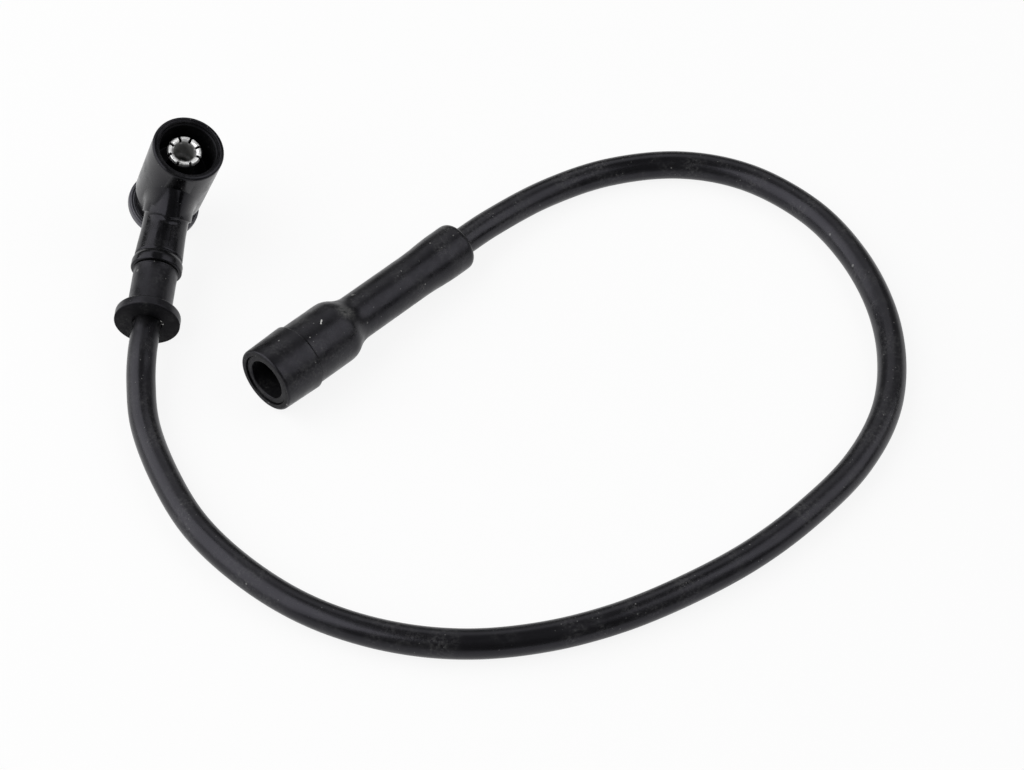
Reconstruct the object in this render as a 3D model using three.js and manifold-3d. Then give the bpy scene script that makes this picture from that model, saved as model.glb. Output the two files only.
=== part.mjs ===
// Spark plug wire: a right-angled plug connector, an ignition cable and a straight coil boot,
// lying on a flat surface. Millimetres, +Z up, the surface at z = 0.
// The origin lies under the middle of the two connectors' common box.
// +X runs along the straight boot, from its mouth towards the cable.

import * as THREE from 'three';
import { mergeVertices } from 'three/addons/utils/BufferGeometryUtils.js';
import Module from 'manifold-3d';

const wasm = await Module();
wasm.setup();

// Gap kept between pieces that touch or fit in each other
const gap = 0.3;

// How far a cut runs past the surface that it opens
const overshoot = 1;

// Ignition cable
const cableRadius = 3.5;
const coreRadius = 0.8;
const coreBare = 4;
const jacketInset = 2;

// Elbow housing, measured from where the head's axis crosses the neck's axis
const mouthRadius = 8.95;
const rimRadius = 8.5;
const drumRadius = 7.4;
const headTop = 17.3;
const rimFoot = -4.8;
const headFoot = -10.1;
const socketBoreRadius = 7;
const socketFloor = 6.7;
const floorThickness = 2.2;
const rearBoreRadius = 5.5;
const neckRadius = 5.6;
const neckEndRadius = 5.95;
const neckFilletTop = 4;
const neckFilletFoot = 1;
const neckFilletSink = 0.1;
const neckLength = 26;
const neckBoreRadius = 4.9;
const lipRadius = 6.3;
const lipLength = 1.9;
const lipStep = 0.5;
const mouthChamfer = 0.5;

// Rear cap
const capRadius = 8.95;
const capThickness = 1.8;
const capSpigotLength = 3.2;
const capSpigotWall = 1;
const capBeadWidth = 0.5;
const capBeadHeight = 0.2;
const capBeadInset = 0.6;

// Neck seal
const sealRadius = 5.4;
const sealLength = 13.2;
const sealSpigotLength = 4.6;
const collarRadius = 8;
const collarThickness = 2.8;
const sealBend = THREE.MathUtils.degToRad(7.5);
const sealBendLength = 3;
const cableHoleRadius = cableRadius + gap;

// Spring socket for the plug's top nut
const clipDepth = 1.5;
const clipWall = 0.45;
const clipBaseRadius = 2.7;
const clipBellyRadius = 3.1;
const clipThroatRadius = 2.6;
const clipLipRadius = 4.2;
const petalCount = 8;
const petalSlot = 0.75;

// Rivet and angled terminal
const rivetRadius = 1.1;
const rivetHeadRadius = 2.2;
const rivetHeadHeight = 0.7;
const stripThickness = 0.8;
const stripWidth = 3.8;
const stripEyeRadius = 2.9;
const crimpWall = 0.6;
const crimpLength = 8;
const crimpStart = 12;
const crimpSeam = 0.8;
const crimpOverlap = 1;

// Coil boot, measured from the middle of its mouth
const bootLength = 65.4;
const sleeveRadius = 8.2;
const sleeveTaper = 0.2;
const sleeveEndRadius = sleeveRadius - sleeveTaper;
const sleeveWall = 1.5;
const sleeveLength = 23.7;
const ridgeHeight = 0.25;
const ridgeRadius = sleeveRadius + ridgeHeight;
const ridgeWidth = 2;
const ridgeStart = 10;
const ridgeSlope = 0.3;
const shoulderLength = 4;
const shankRadius = 5.75;
const flareRadius = 6.2;
const flareLength = 5.7;
const flareStart = 51.8;
const endRounding = 1.8;
const linerHousingRadius = sleeveRadius - sleeveWall;
const linerHousingDepth = 22.6;
const linerWall = 1.3;
const linerRadius = linerHousingRadius - gap;
const linerBoreRadius = linerRadius - linerWall;
const linerRecess = 0.4;
const chamberRadius = 5.3;
const chamberEnd = 26.2;
const chamberTaper = 0.8;
const gripStart = 44;
const gripTaper = 1.2;

// Coil terminal, measured from the boot's mouth
const terminalStart = 14;
const terminalWall = 0.5;
const grooveDepth = 0.3;
const grooveStart = 2.8;
const grooveWidth = 1.3;
const grooveSlope = 0.4;
const springWire = 0.3;
const springClearance = 0.35;
const springSeatRadius = linerBoreRadius - springClearance - 2 * springWire;
const terminalBarrelRadius = springSeatRadius - gap - terminalWall / 2 + grooveDepth;
const terminalBarrelLength = 11;
const terminalLeadIn = 0.6;
const terminalFlare = 0.15;
const terminalWaistRadius = terminalBarrelRadius - 1.5;
const terminalWaistLength = 6;
const terminalWaistTaper = 1;
const terminalCrimpLength = 9;
const terminalCrimpTaper = 1.5;
const terminalSlot = 0.8;
const terminalSlots = 4;
const terminalSlotEnd = 2;

// How the pieces lie
const elbowX = 25.8;
const elbowY = 60.2;
const elbowYaw = THREE.MathUtils.degToRad(-142.6);
const elbowLean = THREE.MathUtils.degToRad(-19.5);
const settlingTurns = 8;

// Where the free cable lies, from the angled connector round to the coil boot
const cableRoute = [
  [-40.5, -3.6, 7],
  [-46, -9.2, 5.5],
  [-53, -18.2, 4],
  [-60.5, -33.7, 3.6],
  [-65.5, -50.2, 3.6],
  [-66.5, -69.2, 3.6],
  [-63.8, -86.7, 3.6],
  [-56.8, -103.4, 3.6],
  [-46.5, -117.4, 3.6],
  [-33, -128.7, 3.6],
  [-17.5, -137.2, 3.6],
  [0, -143.3, 3.6],
  [17.5, -147.2, 3.6],
  [36, -148.5, 3.6],
  [54.5, -147.2, 3.6],
  [71.5, -141.7, 3.6],
  [85.4, -132.1, 3.6],
  [96.9, -119.1, 3.6],
  [105.5, -102.7, 3.6],
  [109.5, -85.7, 3.6],
  [107.5, -66.5, 3.6],
  [99.3, -51.8, 3.6],
  [84.9, -40.4, 3.6],
  [68.4, -34.2, 3.8],
  [50, -32.2, 5.2],
];

// Facets
const sides = 40;
const fineSides = 24;
const cableSides = 12;
const wireSides = 8;
const petalSteps = 9;
const cableSteps = 34;
const cornerSteps = 2;
const filletSteps = 3;

const glossyPlastic = new THREE.MeshStandardMaterial({ color: 0x101113, roughness: 0.28, metalness: 0 });
const rubber = new THREE.MeshStandardMaterial({ color: 0x171819, roughness: 0.62, metalness: 0 });
const cableJacket = new THREE.MeshStandardMaterial({ color: 0x131314, roughness: 0.5, metalness: 0 });
const springSteel = new THREE.MeshStandardMaterial({ color: 0xc9cccf, roughness: 0.25, metalness: 1 });
const brass = new THREE.MeshStandardMaterial({ color: 0xb89b5a, roughness: 0.35, metalness: 1 });

// A closed geometry as a solid that can be cut and joined
function toSolid(geometry) {
  const bare = geometry.clone();
  bare.deleteAttribute('normal');
  bare.deleteAttribute('uv');
  const merged = mergeVertices(bare, 1e-4);
  const triangles = [];
  const index = merged.index.array;
  for (let i = 0; i < index.length; i += 3) {
    const [a, b, c] = [index[i], index[i + 1], index[i + 2]];
    if (a !== b && b !== c && c !== a) triangles.push(a, b, c);
  }
  return new wasm.Manifold(new wasm.Mesh({
    numProp: 3,
    vertProperties: new Float32Array(merged.attributes.position.array),
    triVerts: new Uint32Array(triangles),
  }));
}

function toMesh(name, solid, material) {
  const { vertProperties, triVerts } = solid.getMesh();
  const geometry = new THREE.BufferGeometry();
  geometry.setAttribute('position', new THREE.BufferAttribute(new Float32Array(vertProperties), 3));
  geometry.setIndex(new THREE.BufferAttribute(new Uint32Array(triVerts), 1));
  geometry.computeVertexNormals();
  const mesh = new THREE.Mesh(geometry, material);
  mesh.name = name;
  return mesh;
}

// An outline from corners [radius, height, rounding], each rounding an arc between its two edges
function outline(corners) {
  const points = [];
  corners.forEach(([r, h, rounding = 0], i) => {
    const corner = new THREE.Vector2(r, h);
    if (rounding === 0) {
      points.push(corner);
      return;
    }
    const before = new THREE.Vector2(...corners[(i + corners.length - 1) % corners.length]);
    const after = new THREE.Vector2(...corners[(i + 1) % corners.length]);
    const start = before.sub(corner).setLength(rounding).add(corner);
    const end = after.sub(corner).setLength(rounding).add(corner);
    points.push(...new THREE.QuadraticBezierCurve(start, corner, end).getPoints(cornerSteps));
  });
  return points;
}

// A solid of revolution about Z. An outline that leaves the axis has to come back to it or close.
function revolve(points, count = sides) {
  const last = points[points.length - 1];
  const open = points[0].x > 0 || last.x > 0;
  const closed = open ? [...points, points[0].clone()] : points;
  return toSolid(new THREE.LatheGeometry(closed, count).rotateX(Math.PI / 2));
}

// The same about X
function revolveAlongX(points, count = sides) {
  return revolve(points, count).rotate([0, 90, 0]);
}

function rod(radius, from, to, count = fineSides) {
  return revolve(outline([[0, from], [radius, from], [radius, to], [0, to]]), count);
}

function rodAlongX(radius, from, to, count = fineSides) {
  return rod(radius, from, to, count).rotate([0, 90, 0]);
}

// The outline of sheet of one thickness that follows a middle line
function sheetOutline(middleLine, wall) {
  const outer = [];
  const inner = [];
  middleLine.forEach((point, i) => {
    const before = middleLine[Math.max(i - 1, 0)];
    const after = middleLine[Math.min(i + 1, middleLine.length - 1)];
    const along = after.clone().sub(before).normalize();
    const across = new THREE.Vector2(along.y, -along.x).multiplyScalar(wall / 2);
    outer.push(point.clone().add(across));
    inner.unshift(point.clone().sub(across));
  });
  return [...outer, ...inner];
}

// Slots around an axis along Z, open towards the top
function radialSlots(count, width, reach, from, to) {
  const slots = [];
  for (let i = 0; i < count; i++) {
    const box = new THREE.BoxGeometry(reach, width, to - from);
    box.translate(reach / 2, 0, (from + to) / 2);
    box.rotateZ((i + 0.5) * 2 * Math.PI / count);
    slots.push(toSolid(box));
  }
  return slots;
}

// The housing's neck, with a fillet where it leaves the head: a ball rolls round the neck and
// touches both, and it is largest on the side towards the mouth
function filletedNeck() {
  const headTaper = (mouthRadius - rimRadius) / (headTop - rimFoot);
  const beyondFillet = rimRadius + neckFilletTop;
  const profile = outline([
    [neckRadius, beyondFillet],
    [neckEndRadius, neckLength - lipLength - lipStep],
    [lipRadius, neckLength - lipLength],
    [lipRadius, neckLength, 0.4],
    [neckBoreRadius - gap, neckLength],
  ]);
  const rings = filletSteps + 2 + profile.length;
  const positions = [];
  for (let k = 0; k < sides; k++) {
    const angle = 2 * Math.PI * k / sides;
    const around = new THREE.Vector3(0, Math.cos(angle), Math.sin(angle));
    const fillet = THREE.MathUtils.lerp(neckFilletFoot, neckFilletTop, (1 + around.z) / 2);
    const ball = around.clone().multiplyScalar(neckRadius + fillet);
    const headRadius = rimRadius + headTaper * (ball.z - rimFoot) - neckFilletSink;
    ball.x = Math.sqrt((headRadius + fillet) ** 2 - ball.y ** 2);
    const toHead = new THREE.Vector3(-ball.x, -ball.y, headTaper * (headRadius + fillet)).normalize();
    const toNeck = around.clone().negate();
    const turnAxis = toHead.clone().cross(toNeck).normalize();
    const turn = toHead.angleTo(toNeck);
    const arc = [];
    for (let i = 0; i <= filletSteps; i++) {
      const touch = toHead.clone().applyAxisAngle(turnAxis, turn * i / filletSteps);
      arc.push(touch.multiplyScalar(fillet).add(ball));
    }
    const inside = new THREE.Vector3(0, 0, ball.z).lerp(arc[0], 0.5);
    const tube = profile.map(({ x: r, y: along }) => around.clone().multiplyScalar(r).setX(along));
    [inside, ...arc, ...tube].forEach((point) => positions.push(...point.toArray()));
  }
  const [rootMiddle, endMiddle] = [sides * rings, sides * rings + 1];
  positions.push(rimRadius / 2, 0, 0, neckLength, 0, 0);
  const triangles = [];
  for (let k = 0; k < sides; k++) {
    const [here, next] = [k * rings, (k + 1) % sides * rings];
    for (let i = 0; i < rings - 1; i++) {
      triangles.push(here + i, next + i, next + i + 1, here + i, next + i + 1, here + i + 1);
    }
    triangles.push(rootMiddle, next, here, endMiddle, here + rings - 1, next + rings - 1);
  }
  const geometry = new THREE.BufferGeometry();
  geometry.setAttribute('position', new THREE.Float32BufferAttribute(positions, 3));
  geometry.setIndex(triangles);
  return toSolid(geometry);
}

// Elbow housing: a tapered head tube on a slimmer drum, and a neck, one moulding of hard plastic
function elbowHousing() {
  const head = revolve(outline([
    [0, headFoot],
    [drumRadius, headFoot, 0.4],
    [drumRadius, rimFoot],
    [rimRadius, rimFoot, 0.4],
    [mouthRadius, headTop, 0.5],
    [0, headTop],
  ]));
  const socketBore = revolve(outline([
    [0, socketFloor],
    [socketBoreRadius, socketFloor, 0.5],
    [socketBoreRadius, headTop - mouthChamfer],
    [socketBoreRadius + mouthChamfer, headTop],
    [socketBoreRadius + mouthChamfer, headTop + overshoot],
    [0, headTop + overshoot],
  ]));
  const rearBore = rod(rearBoreRadius, headFoot - overshoot, socketFloor - floorThickness, sides);
  const neckBore = rodAlongX(neckBoreRadius, 0, neckLength + overshoot, sides);
  const rivetHole = rod(rivetRadius + gap, 0, socketFloor + overshoot);
  return head.add(filletedNeck()).subtract(socketBore).subtract(rearBore).subtract(neckBore).subtract(rivetHole);
}

// Rear cap: a round lid with a hollow spigot that plugs the housing's rear bore
function rearCap() {
  const top = headFoot - gap;
  const beadOuter = capRadius - capBeadInset;
  const spigotRadius = rearBoreRadius - gap;
  return revolve(outline([
    [0, top - capThickness],
    [capRadius, top - capThickness, 0.4],
    [capRadius, top, 0.4],
    [beadOuter, top],
    [beadOuter, top + capBeadHeight],
    [beadOuter - capBeadWidth, top + capBeadHeight],
    [beadOuter - capBeadWidth, top],
    [spigotRadius, top],
    [spigotRadius, top + capSpigotLength, 0.4],
    [spigotRadius - capSpigotWall, top + capSpigotLength],
    [spigotRadius - capSpigotWall, top],
    [0, top],
  ]));
}

// Neck seal: a rubber sleeve that plugs the neck, with a round collar where the cable comes out.
// The stiff cable bends it just outside the neck: the points beyond lie on an arc and its tangent.
const sealStart = neckLength + gap;
const sealEnd = sealStart + sealLength + collarThickness - gap;

function bendPoint([x, y, z]) {
  const along = x - sealStart;
  if (along <= 0) return [x, y, z];
  const angle = sealBend * Math.min(along / sealBendLength, 1);
  const beyond = Math.max(along - sealBendLength, 0);
  const arcRadius = sealBendLength / sealBend;
  const reach = arcRadius - z;
  return [
    sealStart + reach * Math.sin(angle) + beyond * Math.cos(angle),
    y,
    arcRadius - reach * Math.cos(angle) + beyond * Math.sin(angle),
  ];
}

function bendAtNeck(solid) {
  return solid.warp((point) => {
    const [x, y, z] = bendPoint(point);
    point[0] = x;
    point[1] = y;
    point[2] = z;
  });
}

function neckSeal() {
  const collarBack = sealEnd - collarThickness;
  const spigotRadius = neckBoreRadius - gap;
  const bendEnd = sealStart + sealBendLength;
  return bendAtNeck(revolveAlongX(outline([
    [cableHoleRadius, sealStart - sealSpigotLength],
    [spigotRadius, sealStart - sealSpigotLength],
    [spigotRadius, sealStart],
    [sealRadius, sealStart, 0.2],
    [sealRadius, bendEnd],
    [sealRadius, collarBack, 0.6],
    [collarRadius, collarBack, 0.5],
    [collarRadius, sealEnd, 0.4],
    [cableHoleRadius, sealEnd],
    [cableHoleRadius, bendEnd],
    [cableHoleRadius, sealStart],
  ])));
}

// Spring socket: a drawn cup with its wall slotted into petals that bulge, narrow and flare
const clipFoot = socketFloor + gap;
const clipTop = headTop - clipDepth;

function socketClip() {
  const foot = clipFoot + clipWall / 2;
  const height = clipTop - foot;
  const petalLine = new THREE.SplineCurve([
    new THREE.Vector2(clipBaseRadius, foot),
    new THREE.Vector2(clipBellyRadius, foot + 0.16 * height),
    new THREE.Vector2(clipBellyRadius, foot + 0.45 * height),
    new THREE.Vector2(clipThroatRadius, foot + 0.72 * height),
    new THREE.Vector2((clipThroatRadius + clipLipRadius) / 2, clipTop - clipWall),
    new THREE.Vector2(clipLipRadius, clipTop - clipWall / 2),
  ]).getPoints(petalSteps);
  const middleLine = [new THREE.Vector2(rivetRadius + gap, foot), ...petalLine];
  const cup = revolve(sheetOutline(middleLine, clipWall));
  const slots = radialSlots(petalCount, petalSlot, mouthRadius, foot + 0.12 * height, headTop);
  return cup.subtract(wasm.Manifold.union(slots));
}

// Rivet that holds the spring socket, the housing's floor and the terminal together
const stripTop = socketFloor - floorThickness - gap;
const stripFoot = stripTop - stripThickness;

function terminalRivet() {
  const upperSeat = clipFoot + clipWall + gap;
  const lowerSeat = stripFoot - gap;
  return revolve(outline([
    [0, lowerSeat - rivetHeadHeight],
    [rivetHeadRadius, lowerSeat - rivetHeadHeight, 0.3],
    [rivetHeadRadius, lowerSeat],
    [rivetRadius, lowerSeat],
    [rivetRadius, upperSeat],
    [rivetHeadRadius, upperSeat],
    [rivetHeadRadius, upperSeat + rivetHeadHeight, 0.5],
    [0, upperSeat + rivetHeadHeight],
  ]), fineSides);
}

// Angled terminal: a brass strip with an eye for the rivet and a barrel crimped over the cable's end
function elbowTerminal() {
  const eye = rod(stripEyeRadius, stripFoot, stripTop);
  const stripLength = crimpStart + crimpOverlap;
  const strip = toSolid(new THREE.BoxGeometry(stripLength, stripWidth, stripThickness)
    .translate(stripLength / 2, 0, (stripTop + stripFoot) / 2));
  const innerRadius = cableRadius + gap;
  const outerRadius = innerRadius + crimpWall;
  const seamAngle = Math.asin(crimpSeam / 2 / innerRadius);
  const section = new THREE.Shape();
  section.absarc(0, 0, outerRadius, seamAngle, 2 * Math.PI - seamAngle, false);
  section.absarc(0, 0, innerRadius, 2 * Math.PI - seamAngle, seamAngle, true);
  const sheet = new THREE.ExtrudeGeometry(section, { depth: crimpLength, bevelEnabled: false, curveSegments: 12 });
  const barrel = toSolid(sheet).rotate([0, 90, 0]).translate([crimpStart, 0, 0]);
  const rivetHole = rod(rivetRadius + gap, stripFoot - overshoot, stripTop + overshoot);
  return eye.add(strip).add(barrel).subtract(rivetHole);
}

// The cable's end that a connector holds: the jacket, and the bared conductor in front of it.
// The jacket has extra rings where it bends.
function heldCableEnd(jacketFrom, jacketTo, bendRings = []) {
  return revolveAlongX(outline([
    [0, jacketFrom - coreBare],
    [coreRadius, jacketFrom - coreBare],
    [coreRadius, jacketFrom],
    [cableRadius, jacketFrom],
    ...bendRings.map((along) => [cableRadius, along]),
    [cableRadius, jacketTo],
    [0, jacketTo],
  ]), fineSides);
}

// Coil boot: a moulded rubber sleeve with a ridge, a slim shank and a flared cable end
function coilBoot() {
  const sleeveRate = (sleeveRadius - sleeveEndRadius) / (sleeveLength - ridgeStart);
  const behindRidge = sleeveRadius - sleeveRate * ridgeWidth;
  const shankStart = sleeveLength + shoulderLength;
  const terminalRadius = terminalCrimpMiddle + terminalWall / 2 + gap;
  return revolveAlongX(outline([
    [linerHousingRadius, 0],
    [sleeveRadius, 0, 0.5],
    [sleeveRadius, ridgeStart - ridgeSlope],
    [ridgeRadius, ridgeStart, 0.2],
    [ridgeRadius, ridgeStart + ridgeWidth, 0.2],
    [behindRidge, ridgeStart + ridgeWidth + ridgeSlope],
    [sleeveEndRadius, sleeveLength, 1],
    [shankRadius, shankStart, 1.2],
    [shankRadius, flareStart, 1.5],
    [flareRadius, flareStart + flareLength, 1.5],
    [flareRadius, bootLength, endRounding],
    [cableHoleRadius, bootLength, 0.3],
    [cableHoleRadius, gripStart],
    [terminalRadius, gripStart - gripTaper],
    [terminalRadius, chamberEnd + chamberTaper],
    [chamberRadius, chamberEnd],
    [chamberRadius, linerHousingDepth],
    [linerHousingRadius, linerHousingDepth],
  ]));
}

// Boot liner: the stiff sleeve that shows as a second ring in the boot's mouth
function bootLiner() {
  return revolveAlongX(outline([
    [linerBoreRadius, linerRecess],
    [linerRadius, linerRecess, 0.3],
    [linerRadius, linerHousingDepth - gap],
    [linerBoreRadius, linerHousingDepth - gap],
  ]));
}

// Coil terminal: a slotted brass barrel with a groove, a waist and a barrel crimped on the cable
const terminalCrimpMiddle = cableRadius + gap + terminalWall / 2;
const terminalWaistStart = terminalStart + terminalBarrelLength;
const terminalCrimpStart = terminalWaistStart + terminalWaistLength;
const terminalEnd = terminalCrimpStart + terminalCrimpLength;

function coilTerminal() {
  const groove = terminalStart + grooveStart;
  const middleLine = [
    [terminalBarrelRadius + terminalFlare, terminalStart],
    [terminalBarrelRadius, terminalStart + terminalLeadIn],
    [terminalBarrelRadius, groove],
    [terminalBarrelRadius - grooveDepth, groove + grooveSlope],
    [terminalBarrelRadius - grooveDepth, groove + grooveSlope + grooveWidth],
    [terminalBarrelRadius, groove + 2 * grooveSlope + grooveWidth],
    [terminalBarrelRadius, terminalWaistStart - terminalWaistTaper],
    [terminalWaistRadius, terminalWaistStart + terminalWaistTaper],
    [terminalWaistRadius, terminalCrimpStart - terminalCrimpTaper],
    [terminalCrimpMiddle, terminalCrimpStart],
    [terminalCrimpMiddle, terminalEnd],
  ].map(([r, h]) => new THREE.Vector2(r, h));
  const tube = revolve(sheetOutline(middleLine, terminalWall), fineSides);
  const slotFrom = terminalStart - overshoot;
  const slotTo = terminalWaistStart - terminalSlotEnd;
  const slots = radialSlots(terminalSlots, terminalSlot, sleeveRadius, slotFrom, slotTo);
  return tube.subtract(wasm.Manifold.union(slots)).rotate([0, 90, 0]);
}

// Ring spring around the coil terminal's groove
function terminalSpring() {
  const ring = new THREE.TorusGeometry(springSeatRadius + springWire, springWire, wireSides, fineSides);
  const middle = terminalStart + grooveStart + grooveSlope + grooveWidth / 2;
  return toSolid(ring).translate([0, 0, middle]).rotate([0, 90, 0]);
}

function lowest(object) {
  return new THREE.Box3().setFromObject(object, true).min.z;
}

// Lowers a group until it touches the surface
function setDown(group) {
  group.position.z -= lowest(group);
}

// Angled connector, in the frame of its housing
const elbow = new THREE.Group();
const cap = toMesh('rear_cap', rearCap(), glossyPlastic);
const seal = toMesh('neck_seal', neckSeal(), rubber);
const heldByElbow = heldCableEnd(crimpStart + jacketInset, sealEnd, [sealStart, sealStart + sealBendLength]);
elbow.add(
  toMesh('elbow_housing', elbowHousing(), glossyPlastic),
  cap,
  seal,
  toMesh('socket_clip', socketClip(), springSteel),
  toMesh('terminal_rivet', terminalRivet(), springSteel),
  toMesh('elbow_terminal', elbowTerminal(), brass),
  toMesh('cable_end_elbow', bendAtNeck(heldByElbow), cableJacket),
);

// It lies on the cap's edge and the collar's edge, with its head leaning over: its neck tips
// until both edges are equally low
elbow.rotation.set(elbowLean, 0, elbowYaw, 'ZYX');
elbow.position.set(elbowX, elbowY, 0);
for (let i = 0; i < settlingTurns; i++) {
  elbow.updateMatrixWorld(true);
  elbow.rotation.y += Math.atan((lowest(seal) - lowest(cap)) / sealEnd);
}
setDown(elbow);

// Straight coil boot, in the frame of its mouth
const coil = new THREE.Group();
coil.add(
  toMesh('coil_boot', coilBoot(), rubber),
  toMesh('boot_liner', bootLiner(), rubber),
  toMesh('coil_terminal', coilTerminal(), brass),
  toMesh('terminal_spring', terminalSpring(), springSteel),
  toMesh('cable_end_coil', heldCableEnd(terminalCrimpStart + jacketInset, bootLength), cableJacket),
);

// It lies on its ridge and on its flared end
const ridgeMiddle = ridgeStart + ridgeWidth / 2;
const flareContact = bootLength - endRounding;
const coilTilt = Math.atan((ridgeRadius - flareRadius) / (flareContact - ridgeMiddle));
coil.rotation.y = coilTilt;
setDown(coil);

// The origin lies under the middle of the two connectors
const connectors = new THREE.Group();
connectors.add(elbow, coil);
const middle = new THREE.Box3().setFromObject(connectors, true).getCenter(new THREE.Vector3());
connectors.position.set(-middle.x, -middle.y, 0);
connectors.updateMatrixWorld(true);

// Ignition cable: the free stretch from the neck seal's collar to the coil boot's flared end
function ignitionCable() {
  const leaveElbow = elbow.localToWorld(new THREE.Vector3(...bendPoint([sealEnd + gap, 0, 0])));
  const leaveCoil = coil.localToWorld(new THREE.Vector3(bootLength + gap, 0, 0));
  const route = new THREE.CatmullRomCurve3([
    leaveElbow,
    ...cableRoute.map(([x, y, z]) => new THREE.Vector3(x, y, z)),
    leaveCoil,
  ], false, 'centripetal');
  const section = new THREE.Shape().absarc(0, 0, cableRadius, 0, 2 * Math.PI, false);
  const facets = new THREE.Shape(section.getSpacedPoints(cableSides).slice(0, cableSides));
  return toSolid(new THREE.ExtrudeGeometry(facets, { steps: cableSteps, bevelEnabled: false, extrudePath: route }));
}

const part = new THREE.Group();
part.add(connectors, toMesh('ignition_cable', ignitionCable(), cableJacket));
export default part;
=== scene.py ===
import math

import bpy
from mathutils import Euler, Matrix, Vector


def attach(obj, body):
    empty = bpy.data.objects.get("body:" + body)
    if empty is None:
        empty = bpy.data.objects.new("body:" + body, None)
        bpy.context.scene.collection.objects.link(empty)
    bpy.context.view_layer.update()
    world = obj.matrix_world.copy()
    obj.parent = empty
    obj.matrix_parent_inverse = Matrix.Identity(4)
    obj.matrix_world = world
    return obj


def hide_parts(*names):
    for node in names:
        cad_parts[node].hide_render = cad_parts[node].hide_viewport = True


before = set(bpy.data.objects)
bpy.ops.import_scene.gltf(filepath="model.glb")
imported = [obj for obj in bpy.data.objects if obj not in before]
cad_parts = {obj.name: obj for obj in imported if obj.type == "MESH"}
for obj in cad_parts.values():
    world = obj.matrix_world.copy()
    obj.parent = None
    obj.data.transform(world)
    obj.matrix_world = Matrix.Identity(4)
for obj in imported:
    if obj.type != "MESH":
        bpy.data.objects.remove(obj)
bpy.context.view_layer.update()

MM = 0.001
WHITE = (1, 1, 1, 1)


# Camera

VIEW_FROM = Vector((-0.33762, -0.41159, 0.56754))
VIEW_AT = Vector((0.01828, -0.06993, 0))

camera_data = bpy.data.cameras.new("camera")
camera_data.lens = 110
camera_data.sensor_width = 36
camera_data.clip_start = 0.01
camera_data.clip_end = 50
camera = bpy.data.objects.new("camera", camera_data)
camera.location = VIEW_FROM
camera.rotation_euler = (VIEW_AT - VIEW_FROM).to_track_quat("-Z", "Y").to_euler()
bpy.context.collection.objects.link(camera)
bpy.context.scene.camera = camera
bpy.context.scene.view_settings.view_transform = "Standard"


# Sizes shared by several pieces

GAP = 0.3
CABLE_RADIUS = 3.5
CABLE_HOLE_RADIUS = CABLE_RADIUS + GAP
HEAD_TOP = 17.3
HEAD_FOOT = -10.1
SOCKET_FLOOR = 6.7
SOCKET_RADIUS = 7
NECK_LENGTH = 26
SEAL_START = NECK_LENGTH + GAP
SEAL_END = 42
SEAL_BEND = math.radians(7.5)
SEAL_BEND_LENGTH = 3
BOOT_LENGTH = 65.4
BOOT_MOUTH_RADIUS = 8.2
BOOT_STEP = 10.7
LINER_START = 0.4
LINER_RADIUS = 6.6
LINER_BORE_RADIUS = 5.1

# Where the two connectors lie: the frame of the elbow's crossing axes, and that of the boot's mouth
ELBOW = Matrix.Translation(Vector((-1.11, 27.947, 14.557)) * MM) @ Euler(
    (math.radians(-19.5), 0.2001, math.radians(-142.6))).to_matrix().to_4x4()
COIL = Matrix.Translation(Vector((-26.91, -32.253, 8.978)) * MM) @ Euler(
    (0, 0.04275, 0)).to_matrix().to_4x4()


# Mesh tools

def rounded(corners, steps=8):
    """Points (radius, height) from corners (radius, height, rounding).

    A rounding is how far from its corner the curve starts and ends."""
    points = []
    for i, (r, h, *rest) in enumerate(corners):
        rounding = rest[0] if rest else 0
        corner = Vector((r, h))
        if not rounding:
            points.append(corner)
            continue
        before = Vector(corners[i - 1][:2])
        after = Vector(corners[(i + 1) % len(corners)][:2])
        start = corner + (before - corner).normalized() * rounding
        end = corner + (after - corner).normalized() * rounding
        for k in range(steps + 1):
            t = k / steps
            points.append(start * (1 - t) ** 2 + corner * 2 * t * (1 - t) + end * t ** 2)
    return points


def spline_through(points, count):
    """count + 1 points on a centripetal curve through the given ones."""
    line = [points[0] * 2 - points[1], *points, points[-1] * 2 - points[-2]]
    pieces = len(points) - 1
    found = []
    for k in range(count + 1):
        at = k / count * pieces
        i = min(int(at), pieces - 1)
        w = at - i
        a, b, c, d = line[i:i + 4]
        before, across, after = [
            (q - p).length_squared ** 0.25 for p, q in ((a, b), (b, c), (c, d))]
        t1 = ((b - a) / before - (c - a) / (before + across) + (c - b) / across) * across
        t2 = ((c - b) / across - (d - b) / (across + after) + (d - c) / after) * across
        square = 3 * (c - b) - 2 * t1 - t2
        cube = 2 * (b - c) + t1 + t2
        found.append(b + t1 * w + square * w ** 2 + cube * w ** 3)
    return found


def mesh_object(name, vertices, faces):
    mesh = bpy.data.meshes.new(name)
    mesh.from_pydata(vertices, [], faces)
    mesh.update()
    thing = bpy.data.objects.new(name, mesh)
    bpy.context.collection.objects.link(thing)
    return thing


def lathe(name, points, along="Z", count=128):
    """A closed solid of revolution from an outline that is a ring or starts and ends on the axis."""
    on_axis = points[0][0] == 0 and points[-1][0] == 0
    vertices = []
    rows = []
    for r, h in points:
        if r == 0:
            rows.append([len(vertices)] * count)
            vertices.append((0, 0, h))
            continue
        rows.append(list(range(len(vertices), len(vertices) + count)))
        for k in range(count):
            angle = 2 * math.pi * k / count
            vertices.append((r * math.cos(angle), r * math.sin(angle), h))
    faces = []
    pairs = list(zip(rows, rows[1:]))
    if not on_axis:
        pairs.append((rows[-1], rows[0]))
    for low, high in pairs:
        for k in range(count):
            n = (k + 1) % count
            corners = []
            for v in (low[k], low[n], high[n], high[k]):
                if v not in corners:
                    corners.append(v)
            if len(corners) > 2:
                faces.append(corners)
    if along == "X":
        vertices = [(z, y, -x) for x, y, z in vertices]
    return mesh_object(name, [Vector(v) * MM for v in vertices], faces)


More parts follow.
